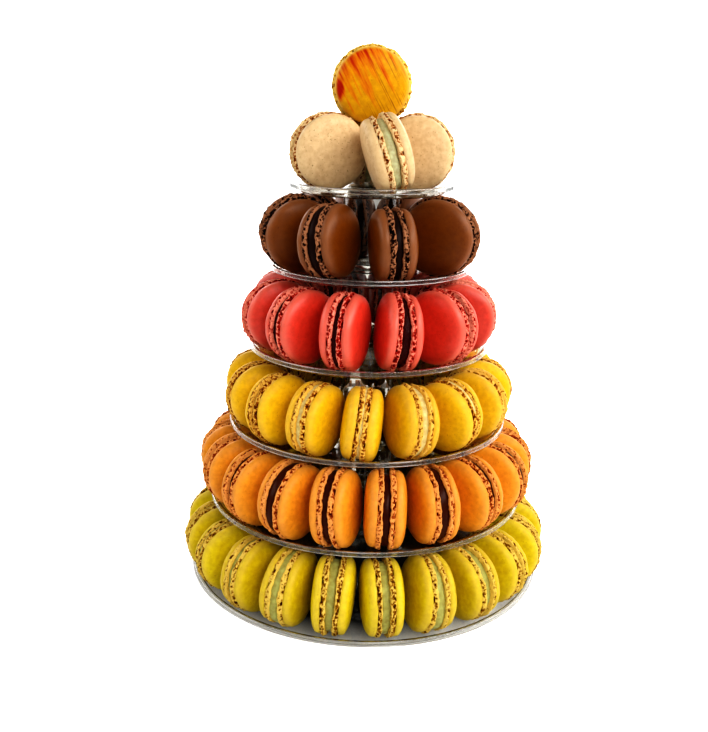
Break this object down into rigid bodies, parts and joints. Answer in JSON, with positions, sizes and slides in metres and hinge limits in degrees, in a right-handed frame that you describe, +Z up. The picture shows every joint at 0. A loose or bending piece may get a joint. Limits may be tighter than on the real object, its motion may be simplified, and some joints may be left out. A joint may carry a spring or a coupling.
{
  "type": "macaron tower",
  "caption": "Round tiered tower of macarons standing on edge round stacked clear trays, one colour to each tray, with a single macaron on top.",
  "frame": {"origin": "on the table under the tower's vertical axis", "axes": "+Z up along the tower's axis; -Y towards the front, the side the picture shows; +X to the right seen from the front"},
  "size_m": [0.242, 0.2416, 0.3361],
  "materials": {
    "clear_tray": "clear thin formed plastic",
    "green_shell": "baked almond shell, satin dome over a rough crackled foot",
    "orange_shell": "baked almond shell, satin dome over a rough crackled foot",
    "yellow_shell": "baked almond shell, satin dome over a rough crackled foot",
    "red_shell": "baked almond shell, satin dome over a rough crackled foot",
    "brown_shell": "baked almond shell, satin dome over a rough crackled foot",
    "cream_shell": "baked almond shell, satin dome over a rough crackled foot",
    "top_shell": "baked almond shell, satin dome over a rough crackled foot"
  },
  "bodies": {
    "root": {"tray_1": "clear_tray", "tray_2": "clear_tray", "tray_3": "clear_tray", "tray_4": "clear_tray", "tray_5": "clear_tray", "tray_6": "clear_tray", "green_01": "green_shell", "green_02": "green_shell", "green_03": "green_shell", "green_04": "green_shell", "green_05": "green_shell", "green_06": "green_shell", "green_07": "green_shell", "green_08": "green_shell", "green_09": "green_shell", "green_10": "green_shell", "green_11": "green_shell", "green_back_1": "green_shell", "green_back_2": "green_shell", "orange_01": "orange_shell", "orange_02": "orange_shell", "orange_03": "orange_shell", "orange_04": "orange_shell", "orange_05": "orange_shell", "orange_06": "orange_shell", "orange_07": "orange_shell", "orange_08": "orange_shell", "orange_09": "orange_shell", "orange_back_1": "orange_shell", "orange_back_2": "orange_shell", "yellow_01": "yellow_shell", "yellow_02": "yellow_shell", "yellow_03": "yellow_shell", "yellow_04": "yellow_shell", "yellow_05": "yellow_shell", "yellow_06": "yellow_shell", "yellow_07": "yellow_shell", "yellow_08": "yellow_shell", "yellow_back_1": "yellow_shell", "yellow_back_2": "yellow_shell", "red_01": "red_shell", "red_02": "red_shell", "red_03": "red_shell", "red_04": "red_shell", "red_05": "red_shell", "red_06": "red_shell", "red_back_1": "red_shell", "brown_01": "brown_shell", "brown_02": "brown_shell", "brown_03": "brown_shell", "brown_04": "brown_shell", "brown_back_1": "brown_shell", "cream_01": "cream_shell", "cream_02": "cream_shell", "cream_03": "cream_shell", "cream_04": "cream_shell", "top_macaron": "top_shell"}
  },
  "joints": []
}
